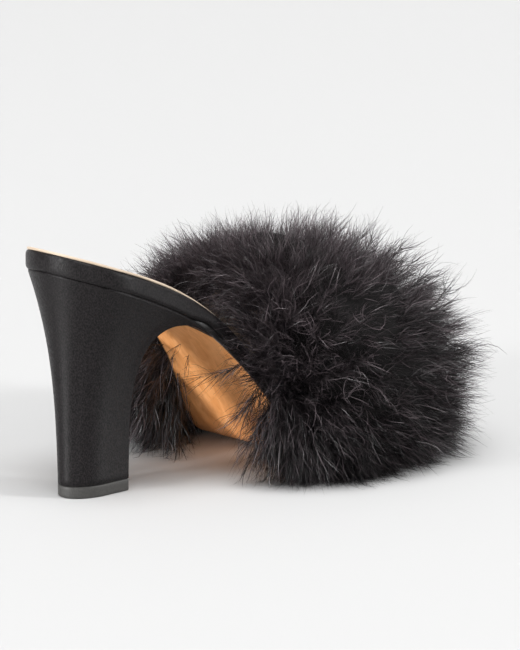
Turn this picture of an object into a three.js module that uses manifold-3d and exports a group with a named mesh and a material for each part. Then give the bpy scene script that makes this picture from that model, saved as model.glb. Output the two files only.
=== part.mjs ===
// A marabou slipper for the right foot: a high-heeled mule whose one wide band is buried in down plumes.
// Millimetres, +X towards the toe, +Y towards the inner (big toe) side, +Z up. The floor is z = 0 and
// the origin is the middle of the heel tip's foot.
import * as THREE from "three";
import Module from "manifold-3d";
import { mergeVertices } from "three/addons/utils/BufferGeometryUtils.js";

const wasm = await Module();
wasm.setup();

// Footbed, the lasted platform that the foot stands on
const FOOTBED_LENGTH = 205; // from the back of the heel seat to the toe, along the floor
const SEAT_HEIGHT = 102.3; // from the floor to the foot's side of the heel seat's back edge
const BALL_WIDTH = 76;
const HEEL_END_RADIUS = 27; // how far forward the round heel end reaches its full width
const TOE_END_RADIUS = 32;
const STACK = 8.4; // sock, insole board and outsole together
const SOCK_THICKNESS = 1;
const SOCK_INSET = 0.9; // from the board's edge to the sock's
const OUTSOLE_THICKNESS = 2.5;
const OUTSOLE_SKIVE = 0.8; // thickness of the outsole's thinned rear end, tucked under the board
const OUTSOLE_SKIVE_LENGTH = 16;
const OUTSOLE_REAR = 50; // where the outsole starts, from the back of the seat
const OUTSOLE_WAIST_INSET = 1.6; // the outsole is narrower than the board under the arch
const OUTSOLE_BAND_LEDGE = 2; // and wider where the band stands on it
const OUTSOLE_LEDGE_RUN = 20; // the length over which its edge goes from one to the other
const BOARD_EDGE_ROUND = 1.6;
const GAP = 0.3; // between pieces that touch

// Heel, a slim block with an oval back and a hollowed front, and its rubber tip
const TIP_THICKNESS = 5;
const TIP_WIDTH = 19.2;
const TIP_BACK = 9.6; // from the back of the seat to the back of the tip
const TIP_DEPTH = 27; // along the foot
const TIP_BACK_DEPTH = 14; // of it, the part that is half an oval
const HEEL_TOP_INSET = 0.9; // from the board's edge to the heel's upper edge
const LIP_SIDE_REACH = 70; // where the heel's side wings end, from the back of the seat
const LIP_MIDDLE_REACH = 60; // and its front edge in the middle
const LIP_THICKNESS = 1;
const BREAST_HOLLOW = 1.2; // how deep the heel's front face is dished at the tip

// Band, the upper: one arched strap lasted over the forefoot
const BAND_WALL = 2;
const BAND_SIDE_GAP = 0.45; // from the board's edge
const BAND_REAR = 97; // where its edges stand on the sole, from the back of the seat
const BAND_FRONT = 168;
const BAND_CROWN_REAR = 106; // where its edges cross the middle of the foot
const BAND_CROWN_FRONT = 162;
const BAND_REAR_TOP = 70; // height of its inner face over the floor, in the middle of its rear edge
const BAND_FRONT_TOP = 42;

// Marabou, the trim of down plumes: a puff that the band's tunnel runs through
const PUFF_LENGTH = 116;
const PUFF_WIDTH = 140;
const PUFF_TOP = 88; // over the floor, without the free locks
const PUFF_WAIST = 36; // the height where it is widest
const PUFF_MIDDLE = 136; // from the back of the seat
const PUFF_TOP_BLUNTNESS = 2.05; // 2 would be an ellipsoid
const PUFF_BASE_BLUNTNESS = 4.2;
const PUFF_PLAN_BLUNTNESS = 2.5;
const LOCK_COUNT = 140; // all round the puff, before those in the foot's way are left out
const LOCK_LENGTH = 10; // of the free part; the lowest are longer by half
const LOCK_RADIUS = 7;
const LOCK_FOOT_CLEARANCE = 7;
const FLOOR_CLEARANCE = 2.5; // of the lowest lock
const BAND_CLEARANCE = 0.5; // between the band's outer face and the trim

const SATIN = { color: 0x252325, roughness: 0.45, metalness: 0 };
const TAN_LEATHER = { color: 0xc98a4e, roughness: 0.42, metalness: 0 };
const SOCK_LEATHER = { color: 0xe3cdb4, roughness: 0.55, metalness: 0 };
const RUBBER = { color: 0x46453f, roughness: 0.7, metalness: 0 };
const DOWN = { color: 0x1b181a, roughness: 0.85, metalness: 0 };

// Side view of the footbed's upper face: shares of its length, and of its rise over the flat forefoot
const PROFILE = [
  { along: 0.0, rise: 1.0 },
  { along: 0.09, rise: 0.928 },
  { along: 0.176, rise: 0.855 },
  { along: 0.293, rise: 0.733 },
  { along: 0.38, rise: 0.597 },
  { along: 0.449, rise: 0.434 },
  { along: 0.507, rise: 0.262 },
  { along: 0.53, rise: 0.19 },
  { along: 0.551, rise: 0.12 },
  { along: 0.575, rise: 0.052 },
  { along: 0.6, rise: 0.014 },
  { along: 0.63, rise: 0.0 },
  { along: 0.8, rise: 0.0 },
  { along: 1.0, rise: 0.04 },
];

// Top view of the insole board: its middle line and half width as shares of the ball width, before
// its two ends are rounded off. The inner side is +.
const OUTLINE = [
  { along: 0.0, middle: 0.0, half: 0.345 },
  { along: 0.12, middle: 0.0, half: 0.345 },
  { along: 0.25, middle: -0.005, half: 0.33 },
  { along: 0.36, middle: -0.022, half: 0.298 },
  { along: 0.45, middle: -0.022, half: 0.308 },
  { along: 0.52, middle: -0.005, half: 0.382 },
  { along: 0.58, middle: 0.003, half: 0.46 },
  { along: 0.65, middle: 0.005, half: 0.503 },
  { along: 0.72, middle: 0.01, half: 0.497 },
  { along: 0.81, middle: 0.028, half: 0.458 },
  { along: 0.9, middle: 0.055, half: 0.395 },
  { along: 1.0, middle: 0.08, half: 0.33 },
];

const { sin, cos, sqrt, abs, max, min, PI, hypot, atan } = Math;
const mix = (a, b, t) => a + (b - a) * t;
const ease = (t) => {
  const s = min(1, max(0, t));
  return s * s * (3 - 2 * s);
};
const steps = (n) => Array.from({ length: n + 1 }, (_, i) => i / n);

// A smooth curve through a table's rows that never overshoots them (monotone cubic).
function curveOf(rows, from, to) {
  const x = rows.map((row) => row[from]);
  const y = rows.map((row) => row[to]);
  const slope = x.slice(1).map((v, i) => (y[i + 1] - y[i]) / (v - x[i]));
  const tangent = x.map((_, i) => {
    if (i === 0) return slope[0];
    if (i === x.length - 1) return slope[i - 1];
    const product = slope[i - 1] * slope[i];
    return product <= 0 ? 0 : (2 * product) / (slope[i - 1] + slope[i]);
  });
  return (v) => {
    let i = 0;
    while (i < x.length - 2 && v > x[i + 1]) i++;
    const h = x[i + 1] - x[i];
    const t = (v - x[i]) / h;
    const cubic = y[i] * (1 + 2 * t) * (1 - t) ** 2 + y[i + 1] * t * t * (3 - 2 * t);
    return cubic + h * (tangent[i] * t * (1 - t) ** 2 - tangent[i + 1] * t * t * (1 - t));
  };
}

const riseShare = curveOf(PROFILE, "along", "rise");
const middleShare = curveOf(OUTLINE, "along", "middle");
const halfShare = curveOf(OUTLINE, "along", "half");

const height = (x) => STACK + (SEAT_HEIGHT - STACK) * riseShare(x / FOOTBED_LENGTH);
const slopeAngle = (x) => atan((height(x - 0.5) - height(x + 0.5)) / 1);
const middle = (x) => BALL_WIDTH * middleShare(x / FOOTBED_LENGTH);

// Half width of the board at x; its ends are quarter ellipses.
function halfWidth(x) {
  const rounded = (distance, radius) =>
    distance >= radius ? 1 : sqrt(max(0, 1 - (1 - distance / radius) ** 2));
  const ends = rounded(x, HEEL_END_RADIUS) * rounded(FOOTBED_LENGTH - x, TOE_END_RADIUS);
  return BALL_WIDTH * halfShare(x / FOOTBED_LENGTH) * ends;
}

// The point n above the footbed's face at x, and y across. Layers are square to the face, apart from
// the seat's back end, whose edge is upright.
function footbed(x, y, n) {
  const angle = slopeAngle(x);
  const square = ease(x / (2 * HEEL_END_RADIUS));
  const up = mix(1 / cos(angle), cos(angle), square);
  return [x + n * sin(angle) * square, y, height(x) + n * up];
}

// Closed mesh from rings of equal length; project gives the flat coordinates that its two ends are
// filled in.
function loft(rings, project) {
  const size = rings[0].length;
  const triangles = [];
  for (let r = 0; r < rings.length - 1; r++) {
    for (let i = 0; i < size; i++) {
      const a = r * size + i;
      const b = r * size + ((i + 1) % size);
      triangles.push([a, b, b + size], [a, b + size, a + size]);
    }
  }
  for (const [r, flip] of [[0, true], [rings.length - 1, false]]) {
    const flat = rings[r].map((p) => new THREE.Vector2(...project(p)));
    const turned = THREE.ShapeUtils.isClockWise(flat) !== flip;
    for (const [a, b, c] of THREE.ShapeUtils.triangulateShape(flat, [])) {
      const t = [a, b, c].map((i) => r * size + i);
      triangles.push(turned ? t.reverse() : t);
    }
  }
  return meshOf(rings.flat(), triangles);
}

// Geometry with its faces pointing out, whichever way the rings ran.
function meshOf(points, triangles) {
  const volume = triangles.reduce((sum, [a, b, c]) => {
    const [p, q, r] = [points[a], points[b], points[c]].map((v) => new THREE.Vector3(...v));
    return sum + p.dot(q.cross(r));
  }, 0);
  const faces = volume < 0 ? triangles.map(([a, b, c]) => [a, c, b]) : triangles;
  const geometry = new THREE.BufferGeometry();
  geometry.setAttribute("position", new THREE.Float32BufferAttribute(points.flat(), 3));
  geometry.setIndex(faces.flat());
  return geometry;
}

function solidOf(geometry) {
  const merged = mergeVertices(geometry, 1e-4);
  return new wasm.Manifold(
    new wasm.Mesh({
      numProp: 3,
      vertProperties: merged.attributes.position.array,
      triVerts: new Uint32Array(merged.index.array),
    }),
  );
}

function geometryOf(solid) {
  const mesh = solid.getMesh();
  const geometry = new THREE.BufferGeometry();
  geometry.setAttribute("position", new THREE.BufferAttribute(mesh.vertProperties, 3));
  geometry.setIndex(new THREE.BufferAttribute(mesh.triVerts, 1));
  return geometry;
}

// Stations along the footbed, closer together in its round ends and through the ball. All its layers
// share them, so that their faces run side by side.
const STATION_COUNT = 38;
const STATIONS = (() => {
  const weight = (x) => {
    const end = min(x, FOOTBED_LENGTH - x) / HEEL_END_RADIUS;
    const ball = (x / FOOTBED_LENGTH - 0.56) / 0.07;
    return 1 + 6 * Math.exp(-end * 5) + 3 * Math.exp(-ball * ball);
  };
  const fine = steps(800).map((t) => FOOTBED_LENGTH * t);
  const sums = [0];
  for (const x of fine.slice(1)) sums.push(sums[sums.length - 1] + weight(x));
  const total = sums[sums.length - 1];
  return steps(STATION_COUNT).map((t) => fine[sums.findIndex((s) => s >= t * total - 1e-9)]);
})();

function stationsBetween(from, to) {
  return [from, ...STATIONS.filter((x) => x > from + 0.6 && x < to - 0.6), to];
}

// One layer of the footbed between x = from and x = to. upper, lower and outset are functions of x:
// heights over the footbed's face and how far the layer stands past the board's outline.
function layer({ places, upper, lower, outset, round }) {
  const rings = places.map((x) => {
    const half = halfWidth(x) + outset(x);
    const corner = min(round, half / 3, (upper(x) - lower(x)) / 3);
    const across = (y, n) => footbed(x, middle(x) + y, n);
    return [
      across(-half + corner, lower(x)),
      across(0, lower(x)),
      across(half - corner, lower(x)),
      across(half, lower(x) + corner),
      across(half, upper(x) - corner),
      across(half - 0.3 * corner, upper(x) - 0.3 * corner),
      across(half - corner, upper(x)),
      across(0, upper(x)),
      across(-half + corner, upper(x)),
      across(-half + 0.3 * corner, upper(x) - 0.3 * corner),
      across(-half, upper(x) - corner),
      across(-half, lower(x) + corner),
    ];
  });
  return loft(rings, ([, y, z]) => [y, z]);
}

// Sock, insole board and outsole
const END_TRIM = 0.35; // the round ends stop this short of their tips, in a narrow flat

function sock() {
  const edge = SOCK_INSET + END_TRIM;
  return layer({
    places: stationsBetween(edge, FOOTBED_LENGTH - edge),
    upper: () => 0,
    lower: () => -SOCK_THICKNESS,
    outset: () => -SOCK_INSET,
    round: 0.3,
  });
}

const outsoleThickness = (x) =>
  mix(OUTSOLE_SKIVE, OUTSOLE_THICKNESS, ease((x - OUTSOLE_REAR) / OUTSOLE_SKIVE_LENGTH));

function insoleBoard() {
  const underOutsole = (x) => GAP - STACK + outsoleThickness(x);
  const notch = OUTSOLE_REAR - GAP;
  const beforeNotch = stationsBetween(END_TRIM, notch - 0.02);
  return layer({
    places: [...beforeNotch, ...stationsBetween(notch, FOOTBED_LENGTH - END_TRIM)],
    upper: () => -SOCK_THICKNESS - GAP,
    lower: (x) => (x < notch ? -STACK : underOutsole(x)),
    outset: () => 0,
    round: BOARD_EDGE_ROUND,
  });
}

// How far the outsole stands past the board: in under the arch, out under the band, flush at the toe.
function outsoleOutset(x) {
  const rear = ease((x - BAND_REAR) / OUTSOLE_LEDGE_RUN + 1);
  const front = ease((x - BAND_FRONT) / OUTSOLE_LEDGE_RUN);
  return mix(-OUTSOLE_WAIST_INSET, OUTSOLE_BAND_LEDGE, rear) * (1 - front);
}

function outsole() {
  return layer({
    places: stationsBetween(OUTSOLE_REAR, FOOTBED_LENGTH - END_TRIM),
    upper: (x) => outsoleThickness(x) - STACK,
    lower: () => -STACK,
    outset: outsoleOutset,
    round: 0.5,
  });
}

// Heel: each point of the tip's outline climbs a rail to a point of the seat's outline
const SIDE_POINTS = 11; // of the outline from the back to the front corner, on each side
const BREAST_POINTS = 7; // across the front between the two corners

// Outline of the heel at the tip and under the seat, as pairs {foot, top, front}: front is 0 round
// the back and 1 from the front corner on.
function heelOutline() {
  const tipMiddle = TIP_BACK + TIP_BACK_DEPTH;
  const tipFront = TIP_BACK + TIP_DEPTH;
  const seatMiddle = HEEL_END_RADIUS;
  const topHalf = (x) => halfWidth(x) - HEEL_TOP_INSET;
  const side = (sign) =>
    steps(2 * SIDE_POINTS - 1).slice(sign < 0 ? 0 : 1).map((q) => {
      if (q <= 0.5) {
        const angle = PI * q;
        const topX = seatMiddle - (seatMiddle - HEEL_TOP_INSET) * cos(angle);
        const topY = topHalf(seatMiddle) * sin(angle);
        return {
          foot: [tipMiddle - TIP_BACK_DEPTH * cos(angle), (sign * TIP_WIDTH * sin(angle)) / 2],
          top: [topX, middle(topX) + sign * topY],
          front: 0,
        };
      }
      const t = 2 * q - 1;
      const topX = mix(seatMiddle, LIP_SIDE_REACH, t);
      return {
        foot: [mix(tipMiddle, tipFront, t), (sign * TIP_WIDTH) / 2],
        top: [topX, middle(topX) + sign * topHalf(topX)],
        front: ease(t),
      };
    });
  const corner = topHalf(LIP_SIDE_REACH);
  const breast = steps(BREAST_POINTS + 1).slice(1, -1).map((t) => {
    const across = 1 - 2 * t;
    const bow = 1 - across * across;
    return {
      foot: [tipFront - BREAST_HOLLOW * bow, (-across * TIP_WIDTH) / 2],
      top: [mix(LIP_SIDE_REACH, LIP_MIDDLE_REACH, bow), middle(LIP_SIDE_REACH) - across * corner],
      front: 1,
    };
  });
  return [...side(-1), ...breast, ...side(1).reverse()];
}

const HEEL_LEVELS = 13;
const flare = (v) => mix(v ** 3, v, 0.15); // the sides and the back widen late
const hollow = (v) => 1 - sqrt(1 - v ** 4.5); // the front turns under the arch in one round sweep

function heelBlock() {
  const outline = heelOutline();
  const base = TIP_THICKNESS + GAP;
  const under = (x) => height(x) - (STACK + GAP) / cos(slopeAngle(x)) - LIP_THICKNESS;
  const rings = steps(HEEL_LEVELS).map((level) => {
    const v = 1 - (1 - level) ** 1.5;
    return outline.map(({ foot, top, front }) => {
      const x = mix(foot[0], top[0], mix(flare(v), hollow(v), front));
      const y = mix(foot[1], top[1], flare(v));
      return [x, y, mix(base, under(x), v)];
    });
  });
  const last = rings[rings.length - 1];
  rings.push(last.map(([x, y, z]) => [x, y, z + 2 * STACK]));
  const block = solidOf(loft(rings, ([x, y]) => [x, y]));
  return geometryOf(block.subtract(solidOf(soleSpace())));
}

// The room of the whole sole over the heel, with its clearance: what the heel's top is cut by.
function soleSpace() {
  return layer({
    places: stationsBetween(END_TRIM, LIP_SIDE_REACH + 2 * STACK),
    upper: () => 4 * STACK,
    lower: () => -STACK - GAP,
    outset: () => 3 * STACK,
    round: 0.2,
  });
}

function heelTip() {
  const outline = heelOutline().map(({ foot }) => foot);
  const shape = new THREE.Shape(outline.map(([x, y]) => new THREE.Vector2(x, y)));
  return new THREE.ExtrudeGeometry(shape, { depth: TIP_THICKNESS, bevelEnabled: false });
}

// Band: a point of its inner face. along runs from the rear edge (0) to the front edge (1), round from
// the outer side (0) over the crown to the inner side (1); below 0 and above 1 they run on past its
// edges. Each rib is half a superellipse, rounder on the big toe's side.
const OUTER_FULLNESS = 2.1;
const INNER_FULLNESS = 2.6;

function bandInside(along, round) {
  const footX = mix(BAND_REAR, BAND_FRONT, along);
  const crownX = mix(BAND_CROWN_REAR, BAND_CROWN_FRONT, along);
  const top = mix(BAND_REAR_TOP, BAND_FRONT_TOP, along);
  const angle = PI * round;
  const fullness = round < 0.5 ? OUTER_FULLNESS : INNER_FULLNESS;
  const lift = abs(sin(angle)) ** (2 / fullness);
  const reach = -Math.sign(cos(angle)) * abs(cos(angle)) ** (2 / fullness);
  const x = mix(footX, crownX, lift ** 1.5);
  const half = halfWidth(footX) + BAND_SIDE_GAP;
  const z = mix(height(footX) - SOCK_THICKNESS, top, lift);
  return [x, middle(footX) + reach * half, z];
}

// The point off from the band's inner face, square to it.
function bandPoint(along, round, off) {
  const d = 0.004;
  const at = (a, r) => new THREE.Vector3(...bandInside(a, r));
  const clear = min(1 - d, max(d, round));
  const lengthwise = at(along + d, clear).sub(at(along - d, clear));
  const crosswise = at(along, clear + d).sub(at(along, clear - d));
  const normal = crosswise.cross(lengthwise).normalize().negate();
  if (normal.dot(new THREE.Vector3(0, round - 0.5, 0.25)) < 0) normal.negate();
  return at(along, round).addScaledVector(normal, off);
}

const BAND_STEPS = steps(11);

function band() {
  const ribs = BAND_STEPS.map((along) => {
    const arch = steps(20);
    const footX = mix(BAND_REAR, BAND_FRONT, along);
    const floor = GAP - STACK + OUTSOLE_THICKNESS;
    const leg = (side, off) => {
      const y = middle(footX) + side * (halfWidth(footX) + BAND_SIDE_GAP + off);
      return footbed(footX, y, floor);
    };
    const face = (off) => arch.map((round) => bandPoint(along, round, off).toArray());
    return [
      leg(-1, 0),
      ...face(0),
      leg(1, 0),
      leg(1, BAND_WALL),
      ...face(BAND_WALL).reverse(),
      leg(-1, BAND_WALL),
    ];
  });
  return loft(ribs, ([, y, z]) => [y, z]);
}

// The room of the band, the foot in it and the sole under it, with its clearance, carried on past the
// band's edges.
function bandSpace() {
  const off = BAND_WALL + BAND_CLEARANCE;
  const ribs = [-0.25, -0.12, ...BAND_STEPS, 1.13, 1.26, 1.4].map((along) => {
    const footX = mix(BAND_REAR, BAND_FRONT, along);
    const under = (side) => {
      const y = middle(footX) + side * (halfWidth(footX) + BAND_SIDE_GAP + off);
      return footbed(footX, y, -STACK - 1);
    };
    const deep = ([x, y]) => [x, y, -2 * STACK];
    const arch = steps(20).map((round) => bandPoint(along, round, off).toArray());
    return [deep(under(-1)), under(-1), ...arch, under(1), deep(under(1))];
  });
  const moved = (rib, by) => rib.map(([x, y, z]) => [x + by, y, z]);
  const rear = moved(ribs[0], -PUFF_LENGTH / 2);
  const front = moved(ribs[ribs.length - 1], PUFF_LENGTH / 2);
  return loft([rear, ...ribs, front], ([, y, z]) => [y, z]);
}

// Marabou: the puff, its free locks fused on and the band's room cut out
const PUFF_BOTTOM = FLOOR_CLEARANCE + 1;
const puffCentre = [PUFF_MIDDLE, middle(PUFF_MIDDLE), PUFF_WAIST];

// The point in direction d from the puff's centre, at a share of the way to its surface.
function puffPoint(d, share) {
  const tall = d[2] > 0 ? PUFF_TOP - PUFF_WAIST : PUFF_WAIST - PUFF_BOTTOM;
  const half = [PUFF_LENGTH / 2, PUFF_WIDTH / 2, tall];
  const blunt = d[2] > 0 ? PUFF_TOP_BLUNTNESS : PUFF_BASE_BLUNTNESS;
  const plan = PUFF_PLAN_BLUNTNESS;
  const level = (abs(d[0] / half[0]) ** plan + abs(d[1] / half[1]) ** plan) ** (blunt / plan);
  const reach = share * (level + abs(d[2] / tall) ** blunt) ** (-1 / blunt);
  return d.map((part, i) => puffCentre[i] + reach * part);
}

function puff() {
  const rings = steps(18).map((level) => {
    const polar = PI * mix(0.97, 0.03, level);
    return steps(35).map((share) => {
      const turn = (2 * PI * share * 35) / 36;
      return puffPoint([sin(polar) * cos(turn), sin(polar) * sin(turn), cos(polar)], 1);
    });
  });
  return loft(rings, ([x, y]) => [x, y]);
}

// One lock: a tapering spindle of five sides that leaves the puff and droops a little.
function lock(d, length, twist) {
  const root = new THREE.Vector3(...puffPoint(d, 0.82));
  const aim = new THREE.Vector3(...puffPoint(d, 1)).sub(root);
  const full = aim.length() + length;
  aim.normalize();
  const side = new THREE.Vector3().crossVectors(aim, new THREE.Vector3(0.3, 0.2, 1)).normalize();
  const other = new THREE.Vector3().crossVectors(aim, side);
  const rings = [[0, 1], [0.62, 0.8], [1, 0.07]].map(([share, size]) => {
    const centre = root.clone().addScaledVector(aim, share * full);
    centre.z = max(centre.z - 0.15 * length * share ** 2, FLOOR_CLEARANCE + LOCK_RADIUS * size);
    return steps(4).map((s) => {
      const a = twist + (s * 4 * 2 * PI) / 5;
      const p = centre.clone().addScaledVector(side, LOCK_RADIUS * size * cos(a));
      return p.addScaledVector(other, LOCK_RADIUS * size * sin(a)).toArray();
    });
  });
  const flat = (p) => {
    const v = new THREE.Vector3(...p).sub(root);
    return [v.dot(side), v.dot(other)];
  };
  return loft(rings, flat);
}

// Whether a lock that leaves the puff in direction d stays beside or above the foot and its sole.
function clearOfFoot(d) {
  const [x, y, z] = puffPoint(d, 1);
  const along = (x - BAND_REAR) / (BAND_FRONT - BAND_REAR);
  const [, , crown] = bandPoint(along, 0.5, BAND_WALL).toArray();
  const beside = abs(y - middle(x)) > halfWidth(BAND_FRONT) + LOCK_FOOT_CLEARANCE;
  return beside || z > crown + LOCK_FOOT_CLEARANCE;
}

// Directions spread evenly over the ball, on a spiral from pole to pole.
function lockDirections() {
  return steps(LOCK_COUNT - 1).map((t, i) => {
    const up = 1 - 2 * t;
    const turn = i * PI * (3 - sqrt(5));
    const level = sqrt(max(0, 1 - up * up));
    return [level * cos(turn), level * sin(turn), up];
  });
}

function marabou() {
  const locks = lockDirections()
    .filter(clearOfFoot)
    .map((d, i) => {
      const fall = 1 + 0.5 * ease(-3 * d[2]) * ease(1 - 2 * d[0]);
      return solidOf(lock(d, LOCK_LENGTH * fall * (0.85 + 0.15 * sin(5 * i)), 2.4 * i));
    });
  const whole = wasm.Manifold.union([solidOf(puff()), ...locks]);
  return geometryOf(whole.subtract(solidOf(bandSpace())));
}

// Assembly
function piece(name, geometry, look) {
  const mesh = new THREE.Mesh(geometry, new THREE.MeshStandardMaterial(look));
  mesh.name = name;
  return mesh;
}

const slipper = new THREE.Group();
slipper.position.x = -(TIP_BACK + TIP_DEPTH / 2);
slipper.add(
  piece("outsole", outsole(), TAN_LEATHER),
  piece("insole_board", insoleBoard(), SATIN),
  piece("sock_lining", sock(), SOCK_LEATHER),
  piece("heel_block", heelBlock(), SATIN),
  piece("heel_tip", heelTip(), RUBBER),
  piece("upper_band", band(), SATIN),
  piece("marabou_trim", marabou(), DOWN),
);

const part = new THREE.Group();
part.add(slipper);
export default part;
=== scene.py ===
import math

import bpy
import numpy as np
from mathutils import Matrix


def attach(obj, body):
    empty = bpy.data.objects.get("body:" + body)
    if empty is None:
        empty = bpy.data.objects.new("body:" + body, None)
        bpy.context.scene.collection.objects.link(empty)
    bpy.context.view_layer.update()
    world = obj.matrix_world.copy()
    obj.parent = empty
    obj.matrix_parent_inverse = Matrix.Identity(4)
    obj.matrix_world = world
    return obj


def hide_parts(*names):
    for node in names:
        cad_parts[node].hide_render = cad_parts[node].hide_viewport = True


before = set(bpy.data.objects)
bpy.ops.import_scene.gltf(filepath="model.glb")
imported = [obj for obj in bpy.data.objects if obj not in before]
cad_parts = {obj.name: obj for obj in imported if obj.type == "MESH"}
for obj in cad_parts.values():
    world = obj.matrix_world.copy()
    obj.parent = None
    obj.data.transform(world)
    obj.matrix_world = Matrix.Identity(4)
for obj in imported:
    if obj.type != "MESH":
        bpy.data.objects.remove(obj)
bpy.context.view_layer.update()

# Marabou slipper, right foot: satin-covered heel and footbed, tan leather sole, and one wide satin
# band buried in down plumes. +X runs to the toe, +Y to the inner side and +Z up, in metres; the
# origin is the middle of the heel tip's foot on the floor.
scene = bpy.context.scene

# Camera: a long lens behind the shoe's outer side and a little above it. Its heading is counted from
# +X towards +Y and its dip from level, both in degrees.
CAMERA_HEADING = 46.57
CAMERA_DIP = 12.75
camera_data = bpy.data.cameras.new("camera")
camera_data.sensor_fit = "HORIZONTAL"
camera_data.sensor_width = 36.0
camera_data.lens = 305.0
camera_data.clip_start = 0.05
camera_data.clip_end = 40.0
camera = bpy.data.objects.new("camera", camera_data)
camera.location = (-1.119, -1.282, 0.453)
camera.rotation_euler = (math.radians(90 - CAMERA_DIP), 0, math.radians(CAMERA_HEADING - 90))
scene.collection.objects.link(camera)
scene.camera = camera
scene.view_settings.view_transform = "Standard"


# Studio: a pale painted sweep, floor and back wall in one, in a white room with softboxes.
def rolled_sheet(name, half_width, near, far, height, radius, steps):
    """A flat floor that turns up into a back wall along a quarter circle. This profile is carried
    straight across, square to the camera's heading."""
    heading = math.radians(CAMERA_HEADING)
    turn = np.linspace(0, math.pi / 2, steps)
    along = np.concatenate([[-near], far + radius * np.sin(turn), [far + radius]])
    up = np.concatenate([[0], radius * (1 - np.cos(turn)), [height]])
    ahead = np.array([math.cos(heading), math.sin(heading)])
    right = np.array([math.sin(heading), -math.cos(heading)])
    rows = []
    for side in (-half_width, half_width):
        ground = along[:, None] * ahead + side * right
        rows.append(np.column_stack([ground, up]))
    points = np.concatenate(rows)
    n = len(along)
    faces = [(i, i + n, i + n + 1, i + 1) for i in range(n - 1)]
    mesh = bpy.data.meshes.new(name)
    mesh.from_pydata(points.tolist(), [], faces)
    mesh.update()
    mesh.polygons.foreach_set("use_smooth", [True] * len(mesh.polygons))
    sheet = bpy.data.objects.new(name, mesh)
    scene.collection.objects.link(sheet)
    return sheet


def new_material(name):
    """A new material and its shader."""
    material = bpy.data.materials.new(name)
    material.use_nodes = True
    return material, material.node_tree.nodes["Principled BSDF"]


sweep = rolled_sheet("sweep", half_width=6.0, near=4.0, far=2.6, height=6.0, radius=1.2, steps=24)
sweep_paint, sweep_shader = new_material("sweep_paint")
sweep_shader.inputs["Base Color"].default_value = (0.52, 0.52, 0.52, 1)
sweep_shader.inputs["Roughness"].default_value = 0.9
sweep_shader.inputs["Specular IOR Level"].default_value = 0.1
sweep.data.materials.append(sweep_paint)

# The room is white on all sides but the photographer's, which is dim.
white_room = bpy.data.worlds.new("white_room")
white_room.use_nodes = True
nodes = white_room.node_tree.nodes
links = white_room.node_tree.links
background = nodes["Background"]
background.inputs["Color"].default_value = (1, 1, 1, 1)
sky_direction = nodes.new("ShaderNodeTexCoord")
photographer_side = nodes.new("ShaderNodeVectorMath")
photographer_side.operation = "DOT_PRODUCT"
photographer_side.inputs[1].default_value = (-0.66, -0.72, 0.2)
links.new(sky_direction.outputs["Generated"], photographer_side.inputs[0])
room_light = nodes.new("ShaderNodeMapRange")
room_light.interpolation_type = "SMOOTHSTEP"
room_light.inputs["From Min"].default_value = 0.1
room_light.inputs["From Max"].default_value = 0.95
room_light.inputs["To Min"].default_value = 0.62
room_light.inputs["To Max"].default_value = 0.1
links.new(photographer_side.outputs["Value"], room_light.inputs["Value"])
links.new(room_light.outputs["Result"], background.inputs["Strength"])
scene.world = white_room


def softbox(name, place, target, width, height, power):
    """A rectangular area lamp at place, turned to face target."""
    lamp = bpy.data.lights.new(name, "AREA")
    lamp.shape = "RECTANGLE"
    lamp.size = width
    lamp.size_y = height
    lamp.energy = power
    holder = bpy.data.objects.new(name, lamp)
    offset = np.array(target, float) - np.array(place, float)
    flat = math.hypot(offset[0], offset[1])
    holder.location = place
    holder.rotation_euler = (
        math.atan2(flat, -offset[2]),
        0,
        math.atan2(offset[1], offset[0]) - math.pi / 2,
    )
    scene.collection.objects.link(holder)


softbox("left_light", (-3.9, 0.6, 0.55), target=(0.0, 0, 0.05), width=0.8, height=1.1, power=180)
softbox("low_light", (-2.2, -2.3, 0.4), target=(0.03, 0, 0.05), width=1.2, height=0.6, power=16)
softbox("right_light", (2.7, -3.9, 1.8), target=(0.05, 0, 0.05), width=0.6, height=2.8, power=185)

# A high, broad key light from behind the camera lights the floor evenly, with soft shadows.
key = bpy.data.lights.new("key_light", "SUN")
key.energy = 2.85
key.angle = math.radians(40)
key_light = bpy.data.objects.new("key_light", key)
key_light.location = (-0.6, -0.7, 2.5)
key_light.rotation_euler = (math.radians(14), 0, math.radians(CAMERA_HEADING - 90))
scene.collection.objects.link(key_light)

# Insole board: fibre board with a steel shank, lasted to the foot and wrapped round its edge in
# black duchesse satin, a dense weave of fine floats with one soft broad sheen. All of the footbed's
# layers follow its profile and its outline. Lengths are in millimetres from the back of the seat.
mm = 0.001
SEAT_BACK_TO_ORIGIN = 23.1
FOOTBED_LENGTH = 205.0
SEAT_HEIGHT = 102.3
BALL_WIDTH = 76.0
HEEL_END_RADIUS = 27.0
TOE_END_RADIUS = 32.0
STACK = 8.4
SOCK_THICKNESS = 1.0
OUTSOLE_THICKNESS = 2.5
BOARD_EDGE = 1.9
BOARD_END_GAP = 0.02
SOCK_GAP = 0.05
LAYER_RINGS = 110
FACE_SHARES = np.array([0, 0.3, 0.6, 0.85, 0.96])
RIM_STEPS = 7
HALF_RING = 2 * (len(FACE_SHARES) + RIM_STEPS)
RING_ORDER = np.concatenate([np.arange(HALF_RING), np.arange(HALF_RING - 2, 0, -1)])
profile_along = np.array([0, 0.09, 0.176, 0.293, 0.38, 0.449, 0.507, 0.53, 0.551, 0.575, 0.6, 0.63, 0.8, 1])
profile_rise = np.array([1, 0.928, 0.855, 0.733, 0.597, 0.434, 0.262, 0.19, 0.12, 0.052, 0.014, 0, 0, 0.04])
outline_along = np.array([0, 0.12, 0.25, 0.36, 0.45, 0.52, 0.58, 0.65, 0.72, 0.81, 0.9, 1])
outline_middle = np.array([0, 0, -0.005, -0.022, -0.022, -0.005, 0.003, 0.005, 0.01, 0.028, 0.055, 0.08])
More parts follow.
